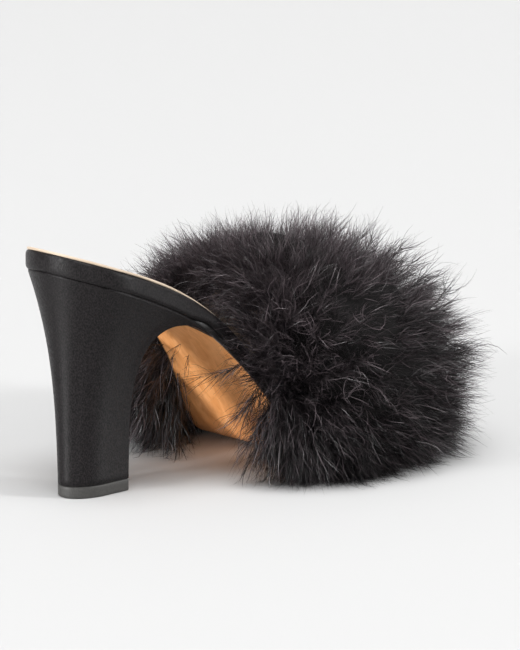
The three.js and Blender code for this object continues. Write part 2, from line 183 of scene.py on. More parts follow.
outline_half = np.array([0.345, 0.345, 0.33, 0.298, 0.308, 0.382, 0.46, 0.503, 0.497, 0.458, 0.395, 0.33])


def curve_through(rows_x, rows_y, x):
    """The smooth curve through a table's rows that never overshoots them, a monotone cubic. Its
    slope at an inner row is the harmonic mean of the slopes on both sides."""
    x = np.asarray(x, float)
    run = np.diff(rows_x)
    slope = np.diff(rows_y) / run
    product = slope[:-1] * slope[1:]
    total = np.where(product > 0, slope[:-1] + slope[1:], 1.0)
    inner = np.where(product > 0, 2 * product / total, 0.0)
    tangent = np.concatenate([slope[:1], inner, slope[-1:]])
    i = np.clip(np.searchsorted(rows_x, x, side="right") - 1, 0, len(slope) - 1)
    h = run[i]
    t = (x - rows_x[i]) / h
    value = rows_y[i] * (1 + 2 * t) * (1 - t) ** 2 + rows_y[i + 1] * t * t * (3 - 2 * t)
    return value + h * (tangent[i] * t * (1 - t) ** 2 - tangent[i + 1] * t * t * (1 - t))


def ease(t):
    """A smooth step from 0 to 1: three t squared minus two t cubed."""
    t = np.clip(t, 0, 1)
    return t * t * (3 - 2 * t)


def mix(a, b, t):
    """The value at share t of the way from a to b."""
    return a + (b - a) * t


def footbed_height(x):
    """Height of the foot's side of the footbed over the floor."""
    rise = curve_through(profile_along, profile_rise, x / FOOTBED_LENGTH)
    return STACK + (SEAT_HEIGHT - STACK) * rise


def footbed_slope(x):
    """The angle by which the footbed falls towards the toe, from its height half a millimetre to
    each side of x."""
    return np.arctan(footbed_height(x - 0.5) - footbed_height(x + 0.5))


def middle_line(x):
    """Where the outline's middle lies across, at x."""
    return BALL_WIDTH * curve_through(outline_along, outline_middle, x / FOOTBED_LENGTH)


def half_width(x):
    """Half the board's width at x. Each end is a quarter ellipse of its own radius."""
    heel_end = 1 - np.clip(x / HEEL_END_RADIUS, 0, 1)
    toe_end = 1 - np.clip((FOOTBED_LENGTH - x) / TOE_END_RADIUS, 0, 1)
    ends = np.sqrt(1 - heel_end**2) * np.sqrt(1 - toe_end**2)
    return BALL_WIDTH * curve_through(outline_along, outline_half, x / FOOTBED_LENGTH) * ends


def footbed_point(x, y, n):
    """The point n over the footbed's face, square to it. Towards the seat's back end the layers
    stand upright instead, over twice the heel end's radius."""
    angle = footbed_slope(x)
    square = ease(x / (2 * HEEL_END_RADIUS))
    up = mix(1 / np.cos(angle), np.cos(angle), square)
    return np.stack([x + n * np.sin(angle) * square, y + 0 * x, footbed_height(x) + n * up], axis=-1)


def to_metres(points):
    """Millimetres from the back of the seat, as metres from the origin."""
    return (points - np.array([SEAT_BACK_TO_ORIGIN, 0, 0])) * mm


def closed_skin(name, grid, material):
    """A smooth closed skin from a grid of points: rows run along it, columns round it, and a fan to
    the middle of the last ring closes each end. Faces are turned outwards by the sign of the
    volume that they enclose."""
    rows, columns = grid.shape[:2]
    r, c = np.meshgrid(np.arange(rows - 1), np.arange(columns), indexing="ij")
    a = (r * columns + c).ravel()
    b = (r * columns + (c + 1) % columns).ravel()
    sides = np.column_stack([a, b, b + columns, a, b + columns, a + columns]).reshape(-1, 3)
    ring = np.arange(columns)
    after = (ring + 1) % columns
    start = np.full(columns, rows * columns)
    end = (rows - 1) * columns
    first_cap = np.column_stack([start, after, ring])
    last_cap = np.column_stack([start + 1, end + ring, end + after])
    points = np.concatenate([grid.reshape(-1, 3), grid[:1].mean(axis=1), grid[-1:].mean(axis=1)])
    faces = np.concatenate([sides, first_cap, last_cap])
    corners = points[faces]
    volume = np.sum(corners[:, 0] * np.cross(corners[:, 1], corners[:, 2]))
    if volume < 0:
        faces = faces[:, ::-1]
    mesh = bpy.data.meshes.new(name)
    mesh.from_pydata(points.tolist(), [], faces.tolist())
    mesh.polygons.foreach_set("use_smooth", [True] * len(mesh.polygons))
    mesh.materials.append(material)
    mesh.update()
    piece = bpy.data.objects.new(name, mesh)
    scene.collection.objects.link(piece)
    return piece


def footbed_layer(start, end, upper, lower, inset, edge):
    """Rings round one layer of the footbed. Places along it run as a cosine, closest at the ends.
    Each ring has flat faces upper and lower over the footbed's face and quarter circles of radius
    edge round both of its rims; near the ends its faces are rounded off in the same way. Half a
    ring goes from the middle of the upper face over the rims to the middle of the lower one, and
    RING_ORDER goes down it on one side and back up on the other."""
    x = mix(start, end, (1 - np.cos(np.linspace(0.02, 0.98, LAYER_RINGS) * math.pi)) / 2)
    top = upper(x)
    bottom = lower(x)
    half = np.maximum(half_width(x) - inset(x), 0.3)
    corner = np.minimum(np.minimum(edge, half / 3), (top - bottom) * 0.49)
    from_end = np.clip(np.minimum(x - start, end - x) / edge, 0, 1)
    shrink = np.minimum(edge, (top - bottom) * 0.4) * (1 - np.sqrt(1 - (1 - from_end) ** 2))
    arc = np.linspace(0, math.pi / 2, RIM_STEPS)
    flat = 0 * FACE_SHARES
    reach = np.concatenate([FACE_SHARES, np.ones(2 * RIM_STEPS), FACE_SHARES[::-1]])[RING_ORDER]
    out = np.concatenate([flat, np.sin(arc), np.cos(arc), flat])[RING_ORDER]
    over = np.concatenate([1 + flat, np.cos(arc), 0 * arc, flat])[RING_ORDER]
    under = np.concatenate([flat, 0 * arc, np.sin(arc), 1 + flat])[RING_ORDER]
    side = np.where(np.arange(len(RING_ORDER)) < HALF_RING, 1, -1)
    y = side * (reach * (half - corner)[:, None] + out * corner[:, None])
    upper_n = (top - shrink)[:, None] - corner[:, None] * (1 - over)
    lower_n = (bottom + shrink)[:, None] + corner[:, None] * (1 - under)
    n = np.where(RING_ORDER < HALF_RING // 2, upper_n, lower_n)
    across = middle_line(x)[:, None] + y
    return to_metres(footbed_point(x[:, None] + 0 * y, across, n))


def object_place(material):
    """The place on the object, in metres, that a material's patterns go by."""
    return material.node_tree.nodes.new("ShaderNodeTexCoord").outputs["Object"]


def stretched(place, scale):
    """The place times a scale of its own in each direction."""
    node = place.id_data.nodes.new("ShaderNodeMapping")
    node.inputs["Scale"].default_value = scale
    place.id_data.links.new(place, node.inputs["Vector"])
    return node.outputs["Vector"]


def noise(place, scale, detail, distortion=0.0):
    """Cloudy noise at place, a share that stays round a half."""
    node = place.id_data.nodes.new("ShaderNodeTexNoise")
    node.inputs["Scale"].default_value = scale
    node.inputs["Detail"].default_value = detail
    node.inputs["Distortion"].default_value = distortion
    place.id_data.links.new(place, node.inputs["Vector"])
    return node.outputs["Fac"]


def shade(share, start, dark, end, pale):
    """The colour on the straight way from dark to pale, while share goes from start to end."""
    node = share.id_data.nodes.new("ShaderNodeValToRGB")
    node.color_ramp.elements[0].position = start
    node.color_ramp.elements[0].color = (*dark, 1)
    node.color_ramp.elements[1].position = end
    node.color_ramp.elements[1].color = (*pale, 1)
    share.id_data.links.new(share, node.inputs["Fac"])
    return node.outputs["Color"]


def between(share, low, high, start=0.0, end=1.0):
    """The value on the straight way from low to high, while share goes from start to end."""
    node = share.id_data.nodes.new("ShaderNodeMapRange")
    node.inputs["From Min"].default_value = start
    node.inputs["From Max"].default_value = end
    node.inputs["To Min"].default_value = low
    node.inputs["To Max"].default_value = high
    share.id_data.links.new(share, node.inputs["Value"])
    return node.outputs["Result"]


def relief(height, depth, strength):
    """The normal of a fine relief: height, a share, times depth in metres."""
    node = height.id_data.nodes.new("ShaderNodeBump")
    node.inputs["Strength"].default_value = strength
    node.inputs["Distance"].default_value = depth
    height.id_data.links.new(height, node.inputs["Height"])
    return node.outputs["Normal"]


def feed(shader, name, value):
    """Lets the value set the shader's socket of that name."""
    value.id_data.links.new(value, shader.inputs[name])


cover_satin, satin_shader = new_material("cover_satin")
satin_shader.inputs["Specular IOR Level"].default_value = 0.2
satin_shader.inputs["Sheen Weight"].default_value = 0.02
satin_shader.inputs["Sheen Roughness"].default_value = 0.35
satin_shader.inputs["Sheen Tint"].default_value = (0.6, 0.57, 0.59, 1)
satin_shader.inputs["Anisotropic"].default_value = 0.65
satin_shader.inputs["Anisotropic Rotation"].default_value = 0.25
weft = cover_satin.node_tree.nodes.new("ShaderNodeTangent")
weft.direction_type = "RADIAL"
weft.axis = "Z"
feed(satin_shader, "Tangent", weft.outputs["Tangent"])
satin_place = object_place(cover_satin)
floats = noise(stretched(satin_place, (2200, 2200, 1300)), scale=1, detail=2)
slub = noise(satin_place, scale=1100, detail=4)
satin_black = shade(floats, 0.38, (0.0012, 0.001, 0.0011), 0.66, (0.0145, 0.0118, 0.0126))
feed(satin_shader, "Base Color", satin_black)
feed(satin_shader, "Roughness", between(slub, 0.38, 0.62, start=0.3, end=0.7))
feed(satin_shader, "Normal", relief(floats, depth=0.00012, strength=0.7))

TUCK_START = 58.0
TUCK_LENGTH = 14.0


def past_tuck(x):
    """0 over the seat and 1 past the stretch where the sole's thin end is tucked in, eased."""
    return ease((x - TUCK_START) / TUCK_LENGTH)


def board_underside(x):
    """How deep the board reaches: to the heel over the seat, and to the outsole past the tuck."""
    return mix(-STACK, OUTSOLE_THICKNESS - STACK, past_tuck(x))


board_grid = footbed_layer(
    BOARD_END_GAP, FOOTBED_LENGTH - BOARD_END_GAP,
    lambda x: -SOCK_THICKNESS - SOCK_GAP + 0 * x,
    board_underside,
    lambda x: 0 * x,
    BOARD_EDGE,
)
covered_board = closed_skin("covered_board", board_grid, cover_satin)
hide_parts("insole_board")
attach(covered_board, "root")

# Outsole: smooth tan sole leather, polished. Its thinned rear end is tucked between the board and
# the heel, and its cut edge is painted black.
BAND_REAR = 97.0
BAND_FRONT = 168.0
LEDGE_WIDTH = 2.0
LEDGE_RUN = 20.0
ARCH_INSET = 1.6
TUCKED_INSET = 3.0
TUCKED_THICKNESS = 0.3
OUTSOLE_TOE_INSET = 0.3
OUTSOLE_EDGE = 0.6
OUTSOLE_GAP = 0.02
sole_leather, sole_shader = new_material("sole_leather")
sole_shader.inputs["Specular IOR Level"].default_value = 0.45
sole_place = object_place(sole_leather)
grain = noise(sole_place, scale=900, detail=5)
mottle = noise(stretched(sole_place, (120, 300, 120)), scale=1, detail=6, distortion=1.2)
tan = shade(mottle, 0.2, (0.66, 0.245, 0.064), 0.8, (0.95, 0.475, 0.2))
feed(sole_shader, "Roughness", between(mottle, 0.26, 0.42))
feed(sole_shader, "Normal", relief(grain, depth=0.00012, strength=0.2))

# Black edge paint, where the skin's own attribute says so. The mixing node numbers its colour
# sockets: 6 and 7 go in, and 2 comes out.
nodes = sole_leather.node_tree.nodes
links = sole_leather.node_tree.links
cut_edge = nodes.new("ShaderNodeAttribute")
cut_edge.attribute_name = "cut_edge"
edge_paint = nodes.new("ShaderNodeMix")
edge_paint.data_type = "RGBA"
edge_paint.inputs[7].default_value = (0.012, 0.011, 0.011, 1)
links.new(cut_edge.outputs["Fac"], edge_paint.inputs["Factor"])
links.new(tan, edge_paint.inputs[6])
feed(sole_shader, "Base Color", edge_paint.outputs[2])


def outsole_inset(x):
    """How far the outsole's edge stands inside the board's: a little under the arch, more where it
    is tucked under the heel, and outside it where the band stands on it."""
    ledge = ease((x - BAND_REAR) / LEDGE_RUN + 1)
    toe = ease((x - BAND_FRONT) / LEDGE_RUN)
    tucked = TUCKED_INSET * (1 - past_tuck(x))
    return mix(ARCH_INSET, -LEDGE_WIDTH, ledge) * (1 - toe) + tucked


def outsole_top(x):
    """How high the outsole's upper face lies: just under the board, but for its tucked end, which
    keeps a little thickness."""
    return board_underside(x) - OUTSOLE_GAP + TUCKED_THICKNESS * (1 - past_tuck(x))


outsole_grid = footbed_layer(
    TUCK_START, FOOTBED_LENGTH - OUTSOLE_TOE_INSET,
    outsole_top,
    lambda x: -STACK + 0 * x,
    outsole_inset,
    OUTSOLE_EDGE,
)
outsole_skin = closed_skin("polished_outsole", outsole_grid, sole_leather)

# Painted are the rims and the toe's end, but not the tucked end.
past_faces = RING_ORDER >= len(FACE_SHARES)
on_rims = past_faces & (RING_ORDER < HALF_RING - len(FACE_SHARES))
painted = outsole_skin.data.attributes.new("cut_edge", "FLOAT", "POINT")
edge_values = np.concatenate([np.tile(on_rims, LAYER_RINGS), [False, True]])
painted.data.foreach_set("value", edge_values.astype(np.float32))
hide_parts("outsole")
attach(outsole_skin, "root")

# Heel: a moulded block covered in the same satin. Its back is an oval, its front is hollowed and
# sweeps up under the arch into two side wings and a thin lip.
TIP_THICKNESS = 5.0
TIP_HALF_WIDTH = 9.6
TIP_BACK = 9.6
TIP_DEPTH = 27.0
TIP_BACK_DEPTH = 14.0
HEEL_TOP_INSET = 0.9
LIP_SIDE_REACH = 70.0
LIP_MIDDLE_REACH = 60.0
LIP_THICKNESS = 1.0
BREAST_HOLLOW = 1.2
BREAST_STEPS = 29
BREAST_BLUNTNESS = 4.5
FLARE_STRAIGHTNESS = 0.15
SIDE_STEPS = 44
HEEL_LEVELS = 64
LIFT_GAP = 0.05
SEAT_GAP = 0.02


def heel_outline():
    """The heel's outline at the tip and under the seat, point for point: half an oval round the
    back, two sides and a bowed front, whose corners are cut off slightly. Its fifth row, front,
    grows from 0 round the back to 1 at the front."""
    q = np.concatenate([np.linspace(0, 0.96, SIDE_STEPS), [0.98, 0.99]])
    back = np.minimum(q, 0.5) * math.pi
    t = np.maximum(2 * q - 1, 0)
    tip_middle = TIP_BACK + TIP_BACK_DEPTH
    foot_x = tip_middle - TIP_BACK_DEPTH * np.cos(back) + (TIP_DEPTH - TIP_BACK_DEPTH) * t
    top_x = HEEL_END_RADIUS - (HEEL_END_RADIUS - HEEL_TOP_INSET) * np.cos(back)
    top_x = top_x + (LIP_SIDE_REACH - HEEL_END_RADIUS) * t
    top_half = (half_width(np.maximum(top_x, HEEL_END_RADIUS)) - HEEL_TOP_INSET) * np.sin(back)
    outer = [foot_x, -TIP_HALF_WIDTH * np.sin(back), top_x, middle_line(top_x) - top_half, ease(t)]
    inner = [foot_x, TIP_HALF_WIDTH * np.sin(back), top_x, middle_line(top_x) + top_half, ease(t)]
    across = np.linspace(-0.96, 0.96, BREAST_STEPS)
    bow = 1 - across**2
    corner = half_width(np.array(LIP_SIDE_REACH)) - HEEL_TOP_INSET
    breast = [
        TIP_BACK + TIP_DEPTH - BREAST_HOLLOW * bow,
        across * TIP_HALF_WIDTH,
        mix(LIP_SIDE_REACH, LIP_MIDDLE_REACH, bow),
        middle_line(np.array(LIP_SIDE_REACH)) + across * corner,
        1 + 0 * across,
    ]
    return np.concatenate([np.array(outer), np.array(breast), np.array(inner)[:, :0:-1]], axis=1)


# The levels lie closest under the seat. Back and sides flare with the cube of the height and a little
# of the height itself. The breast goes straight up first and then forward, as a superellipse does.
foot_x, foot_y, top_x, top_y, front = heel_outline()
level = np.linspace(0, 1, HEEL_LEVELS)[:, None]
v = 1 - (1 - level) ** 2
flare = mix(v**3, v, FLARE_STRAIGHTNESS)
hollow = 1 - np.sqrt(np.maximum(0, 1 - v**BREAST_BLUNTNESS))
heel_x = mix(foot_x, top_x, mix(flare, hollow, front))
heel_y = mix(foot_y, top_y, flare)
seat_underside = footbed_height(heel_x) - STACK / np.cos(footbed_slope(heel_x))
heel_z = mix(TIP_THICKNESS + LIFT_GAP, seat_underside - LIP_THICKNESS, v)
lip_z = (seat_underside - SEAT_GAP)[-1:]
heel_grid = np.stack([
    np.concatenate([heel_x, heel_x[-1:]]),
    np.concatenate([heel_y, heel_y[-1:]]),
    np.concatenate([heel_z, lip_z]),
], axis=-1)
covered_heel = closed_skin("covered_heel", to_metres(heel_grid), cover_satin)
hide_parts("heel_block")
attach(covered_heel, "root")

# Heel tip: a moulded lift of hard grey-black rubber, 5 mm thick. Its edges are softened and it is
# nailed to the heel.
tip_rubber, tip_shader = new_material("tip_rubber")
tip_shader.inputs["Specular IOR Level"].default_value = 0.4
specks = noise(object_place(tip_rubber), scale=1400, detail=3)
feed(tip_shader, "Base Color", shade(specks, 0.3, (0.03, 0.029, 0.0275), 0.75, (0.052, 0.05, 0.047)))
feed(tip_shader, "Roughness", between(specks, 0.42, 0.66))
feed(tip_shader, "Normal", relief(specks, depth=0.0001, strength=0.3))

# Its rings, in millimetres: how high each lies and how far it is set in from the heel's outline.
tip_z = np.array([0, 0.1, 0.3, 0.6, 1.5, 3.5, 4.4, 4.7, 4.9, 5.0])[:, None]
tip_inset = np.array([0.6, 0.3, 0.1, 0, 0, 0, 0, 0.1, 0.25, 0.5])[:, None]
tip_middle_x = TIP_BACK + TIP_DEPTH / 2
tip_shrink = 1 - tip_inset / TIP_HALF_WIDTH
tip_grid = np.stack([
    tip_middle_x + (foot_x - tip_middle_x) * tip_shrink,
    foot_y * tip_shrink,
    tip_z + 0 * foot_x,
], axis=-1)
rubber_lift = closed_skin("rubber_lift", to_metres(tip_grid), tip_rubber)
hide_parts("heel_tip")
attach(rubber_lift, "root")

# Sock lining: thin cream kid leather, glued over the board from the seat to the toe. Along the waist
# it stops short of the board's edge and leaves a rim of satin.
SOCK_INSET = 0.9
WAIST_INSET = 3.4
WAIST_REAR = 38.0
WAIST_REAR_RUN = 24.0
WAIST_FRONT = 185.0
WAIST_FRONT_RUN = 25.0
SOCK_EDGE = 0.45
sock_leather, sock_shader = new_material("sock_leather")
sock_place = object_place(sock_leather)
kid_tone = noise(sock_place, scale=60, detail=4)
kid_grain = sock_leather.node_tree.nodes.new("ShaderNodeTexVoronoi")
kid_grain.inputs["Scale"].default_value = 1100
sock_leather.node_tree.links.new(sock_place, kid_grain.inputs["Vector"])
feed(sock_shader, "Base Color", shade(kid_tone, 0.3, (0.46, 0.36, 0.265), 0.75, (0.56, 0.455, 0.35)))
feed(sock_shader, "Roughness", between(kid_tone, 0.44, 0.6))
feed(sock_shader, "Normal", relief(kid_grain.outputs["Distance"], depth=0.00012, strength=0.2))


def sock_inset(x):
    """How far the sock's edge stands inside the board's: further in between the ends of the waist,
    eased in and out."""
    waist = ease((x - WAIST_REAR) / WAIST_REAR_RUN) * ease((WAIST_FRONT - x) / WAIST_FRONT_RUN)
    return SOCK_INSET + WAIST_INSET * waist


sock_grid = footbed_layer(
    SOCK_INSET, FOOTBED_LENGTH - SOCK_INSET,
    lambda x: 0 * x,
    lambda x: -SOCK_THICKNESS + 0 * x,
    sock_inset,
    SOCK_EDGE,
)
kid_sock = closed_skin("kid_sock", sock_grid, sock_leather)
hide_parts("sock_lining")
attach(kid_sock, "root")

# Band: one arched strap of the same satin, lasted beside the board and lined with the sock's kid.
# Only its lined inside shows, under the trim.
BAND_CROWN_REAR = 106.0
BAND_CROWN_FRONT = 162.0
BAND_REAR_TOP = 70.0
BAND_FRONT_TOP = 42.0
BAND_SIDE_GAP = 0.45
BAND_WALL = 2.0
BAND_LINING = 0.5
BAND_LEG = 4.3
BAND_OUTER_BLUNTNESS = 2.1
BAND_INNER_BLUNTNESS = 2.6
BAND_RIBS = 61
BAND_ROWS = 22


def band_inside(along, round_share):
    """A point of the band's inner face, in millimetres. along runs from its rear edge, 0, to its
    front edge, 1, and round_share from the outer foot over the crown to the inner foot. A rib is
    half a superellipse. Past its feet it goes on down, square to the sole."""
    over = np.clip(round_share, 0, 1)
    angle = math.pi * over
    power = 2 / np.where(over < 0.5, BAND_OUTER_BLUNTNESS, BAND_INNER_BLUNTNESS)
    lift = np.abs(np.sin(angle)) ** power
    reach = -np.sign(np.cos(angle)) * np.abs(np.cos(angle)) ** power
    foot = mix(BAND_REAR, BAND_FRONT, along)
    crown = mix(BAND_CROWN_REAR, BAND_CROWN_FRONT, along)
    base = footbed_height(foot) - SOCK_THICKNESS
    top = mix(BAND_REAR_TOP, BAND_FRONT_TOP, along)
    sunk = np.where((round_share < 0) | (round_share > 1), BAND_LEG, 0.0)
    slope = footbed_slope(foot)
    return np.stack([
        mix(foot, crown, lift**1.5) - sunk * np.sin(slope),
        middle_line(foot) + reach * (half_width(foot) + BAND_SIDE_GAP),
        mix(base, top, lift) - sunk * np.cos(slope),
    ], axis=-1)


def unit(v):
    """Each vector divided by its own length."""
    return v / np.maximum(np.linalg.norm(v, axis=-1, keepdims=True), 1e-9)


def band_outward(along, round_share):
    """The band's outward normal, from the slopes of its inner face along it and round it."""
    d = 0.004
    over = np.clip(round_share, d, 1 - d)
    lengthwise = band_inside(along + d, over) - band_inside(along - d, over)
    crosswise = band_inside(along, over + d) - band_inside(along, over - d)
    return unit(np.cross(lengthwise, crosswise))


def band_face(along, round_share, off):
    """The point off, in metres, from the band's inner face along its outward normal."""
    point = band_inside(along, round_share) + band_outward(along, round_share) * (off / mm)[..., None]
    return to_metres(point)


def band_shell(name, inner, outer, material):
    """A closed skin round the band's wall between two distances from its inner face: each column
    goes along the inner side, round the front edge, back along the outer side and round the rear.
    The rows just past its feet are the ones that go down beside the board."""
    round_share = np.concatenate([[-0.001], np.linspace(0, 1, BAND_RIBS), [1.001]])[:, None]
    run = np.linspace(0.01, 0.99, BAND_ROWS)
    along = np.concatenate([run, [1.0, 1.0], run[::-1], [0.0, 0.0]])[None, :]
    share = np.concatenate([0 * run, [0.2, 0.8], 1 + 0 * run, [0.8, 0.2]])[None, :]
    off = mix(inner, outer, share) * mm + 0 * round_share
    grid = band_face(along + 0 * round_share, round_share + 0 * along, off)
    return closed_skin(name, grid, material)


satin_band = band_shell("satin_band", BAND_LINING, BAND_WALL, cover_satin)
band_lining = band_shell("band_lining", 0.0, BAND_LINING, sock_leather)
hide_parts("upper_band")
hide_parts("upper_band")
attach(satin_band, "root")
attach(band_lining, "root")

# Down core: the strings that the plumes are bound to, wound round the band row by row, with the
# plumes' matted feet. It lies deep in the trim, and its near-black colour is painted shade for the trim's
# depths.
PUFF_CENTRE = np.array([112.9, 0.5, 36.0]) * mm
PUFF_REACH = np.array([71.0, 80.0]) * mm
PUFF_ABOVE = 59.0 * mm
PUFF_BELOW = 49.0 * mm
PUFF_PLAN_BLUNTNESS = 2.4
PUFF_TOP_BLUNTNESS = 2.35
PUFF_BASE_BLUNTNESS = 3.1
PUFF_LEAN = 0.2
LONGEST_REACH = 120.0 * mm
CORE_SHARE = 0.67
CORE_START = 2.5 * mm
CORE_FOOT = 2.6 * mm
CORE_RIBS = 81
CORE_COLUMNS = 36


def reach_to_puff(start, aim):
    """How far each start can go along its aim before it leaves the puff, a superellipsoid that is
    blunter below its widest level, and set further back the lower it is. The bound is closed in on
    in twenty halvings."""
    low = np.zeros(len(start))
    high = np.full(len(start), LONGEST_REACH)
    for _ in range(20):
        mid = (low + high) / 2
        p = start + aim * mid[:, None] - PUFF_CENTRE
        p[:, 0] -= PUFF_LEAN * np.minimum(p[:, 2], 0)
        tall = np.where(p[:, 2] > 0, PUFF_ABOVE, PUFF_BELOW)
        blunt = np.where(p[:, 2] > 0, PUFF_TOP_BLUNTNESS, PUFF_BASE_BLUNTNESS)
        plan = np.sum(np.abs(p[:, :2] / PUFF_REACH) ** PUFF_PLAN_BLUNTNESS, axis=1)
        inside = plan ** (blunt / PUFF_PLAN_BLUNTNESS) + np.abs(p[:, 2] / tall) ** blunt < 1
        low = np.where(inside, mid, low)
        high = np.where(inside, high, mid)
    return low


# Near black: painted shade for the depths of the trim, over the real strings and matted feet.
core_dark, core_shader = new_material("core_dark")
core_shader.inputs["Roughness"].default_value = 0.95
core_shader.inputs["Specular IOR Level"].default_value = 0.1
core_fluff = noise(object_place(core_dark), scale=420, detail=6)
core_tone = shade(core_fluff, 0.0, (0.002, 0.002, 0.002), 1.0, (0.012, 0.011, 0.011))
feed(core_shader, "Base Color", core_tone)

# Across the band the core is flat on the wall and swells out from it as half an oval, over a share of
# the way to the puff's face, with low lumps.
core_round = np.linspace(0.0, 1.0, CORE_RIBS)[:, None]
core_turn = np.linspace(0, 2 * math.pi, CORE_COLUMNS + 1)[None, :-1]
core_swell = np.maximum(np.sin(core_turn), 0)
core_along = 0.5 - 0.5 * np.cos(core_turn) * (1 + 0.2 * core_swell) + 0 * core_round
middle_share = 0.5 + 0 * core_round[:, 0]
middle_start = band_face(middle_share, core_round[:, 0], CORE_START + 0 * middle_share)
middle_outward = band_outward(middle_share, core_round[:, 0])
core_room = CORE_SHARE * reach_to_puff(middle_start, middle_outward)[:, None]
core_lump = 1 + 0.07 * np.sin(23 * core_round + 5 * core_along) * np.sin(6 * core_turn)
core_off = CORE_FOOT + core_room * core_swell**0.7 * core_lump
core_grid = band_face(np.clip(core_along, -0.1, 1.1), core_round + 0 * core_turn, core_off)
down_core = closed_skin("down_core", core_grid, core_dark)
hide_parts("marabou_trim")
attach(down_core, "root")

# Down plumes: each has a limp shaft with long soft barbs on both of its sides, most of them far out.
# They are bound to the core and stand out of it in every direction. The rear ones hang over the
# throat, and the lowest ones bend along the floor.
BARBS_PER_PLUME = 56
BARB_STEPS = 4

# Ranges are in millimetres, from least to most. The spread's mean and scatter and the tilt's scatter
# are in degrees.
ROOT_RANGE = (2, 6)
SHAFT_SHARES = (0.74, 1.06)
BARB_LENGTH = (9, 23)
BARB_SPREAD = (31, 13)
BARB_TURN_BACK = 0.4
BARB_WAVE = 0.16
BARB_DROOP = 0.12
BARB_TAPER = 0.85
BARB_OVERHANG = 9 * mm
SHORTEST_SHAFT = 6 * mm
TILT_SCATTER = 12
AIM_SCATTER = 0.1
FLOOR_SQUEEZE = 1.5 * mm
FLOOR_GAP = 0.22 * mm
# A share of the barbs are wide, and their tone is painted much paler as painted highlights.
HIGHLIT_SHARE = 0.14
HIGHLIT_WIDTH = (0.26, 0.42)
FINE_WIDTH = (0.12, 0.26)
# Height where the painted shade ends: lower barbs are painted darker, as painted shade near the floor, and
# higher ones paler, as painted light on the crown.
PAINTED_LIGHT_HEIGHT = 45 * mm
rng = np.random.default_rng(11)


def plume_shafts(along_range, round_range, count, tilt_range, drop):
    """Roots, aims and lengths of plumes on one stretch of the band. An aim is the band's outward
    normal, tilted by an angle that runs from the first of tilt_range at the stretch's rear to the
    second at its front, back being less than 0, and then turned down by up to drop of its own
    length. Each shaft ends a barb's overhang short of its share of the way to the puff's face."""
    along = rng.uniform(*along_range, count)
    round_share = rng.uniform(*round_range, count)
    root = band_face(along, round_share, rng.uniform(*ROOT_RANGE, count) * mm)
    outward = band_outward(along, round_share)
    ahead = band_inside(along + 0.02, round_share) - band_inside(along - 0.02, round_share)
    ahead = unit(ahead - outward * np.sum(ahead * outward, axis=1, keepdims=True))
    share = (along - along_range[0]) / (along_range[1] - along_range[0])
    tilt = np.radians(mix(tilt_range[0], tilt_range[1], share) + rng.normal(0, TILT_SCATTER, count))
    aim = outward * np.cos(tilt)[:, None] + ahead * np.sin(tilt)[:, None]
    aim[:, 2] -= drop * rng.uniform(0, 1, count)
    aim = unit(aim + rng.normal(0, AIM_SCATTER, (count, 3)))
    length = reach_to_puff(root, aim) * rng.uniform(*SHAFT_SHARES, count) - BARB_OVERHANG
    return root, aim, np.maximum(length, SHORTEST_SHAFT)


def barb_paths(root, aim, length):
    """Points along the middle of every barb of these plumes, the way that each barb leaves its
    shaft, and the number of its plume. A shaft bends sideways with the square of the share along
    it. A barb leaves it at such a share, most of them far out, to one side or the other. It turns
    back towards the shaft's own way and droops with the square of the share along itself, and it
    waves slightly as a sine."""
    plumes = len(root)
    curl = unit(np.cross(aim, rng.normal(0, 1, (plumes, 3))))
    across = unit(np.cross(aim, rng.normal(0, 1, (plumes, 3))))
    bend = rng.uniform(0.05, 0.3, plumes)
    count = plumes * BARBS_PER_PLUME
    plume = np.repeat(np.arange(plumes), BARBS_PER_PLUME)
    along = rng.beta(2.4, 1.1, count)
    run = length[plume]
    base = root[plume] + (aim[plume] * along[:, None]) * run[:, None]
    base += curl[plume] * (bend[plume] * run * along**2)[:, None]
    tangent = unit(aim[plume] + curl[plume] * (2 * bend[plume] * along)[:, None])
    side = np.where(rng.uniform(size=count) < 0.5, -1.0, 1.0)[:, None]
    sideways = unit(across[plume] * side + rng.normal(0, 0.6, (count, 3)))
    spread = np.radians(rng.normal(*BARB_SPREAD, count))[:, None]
    leave = unit(tangent * np.cos(spread) + sideways * np.sin(spread))
    barb = (rng.uniform(*BARB_LENGTH, count) * (1.15 - 0.35 * along)) * mm
    t = np.linspace(0, 1, BARB_STEPS + 1)[None, :, None]
    turn_back = (tangent - leave)[:, None, :] * BARB_TURN_BACK
    wave = unit(np.cross(leave, rng.normal(0, 1, (count, 3))))[:, None, :]
    path = leave[:, None, :] * t + turn_back * t**2
    path = path + wave * (rng.normal(0, BARB_WAVE, count)[:, None, None] * np.sin(3.0 * t))
    path = base[:, None, :] + path * barb[:, None, None]
    path[..., 2] -= BARB_DROOP * barb[:, None] * t[..., 0] ** 2
    return path, leave, plume


def kept_off_floor(height):
    """Heights over the floor. The lowest are squeezed exponentially, down to a least gap."""
    squeezed = FLOOR_SQUEEZE * np.exp(np.minimum(height - FLOOR_SQUEEZE, 0) / FLOOR_SQUEEZE)
    return np.maximum(np.where(height < FLOOR_SQUEEZE, squeezed, height), FLOOR_GAP)


def through_sole(path):
    """Which barbs have a point inside the sole's outline and less than two stacks under the
    footbed's face."""
    x = path[..., 0] / mm + SEAT_BACK_TO_ORIGIN
    place = np.clip(x, 0, FOOTBED_LENGTH)
    over_sole = (np.abs(path[..., 1] / mm - middle_line(place)) < half_width(place)) & (x == place)
    sole_top = footbed_height(place) * mm
    in_sole = over_sole & (path[..., 2] < sole_top) & (path[..., 2] > sole_top - 2 * STACK * mm)
    return np.any(in_sole, axis=1)


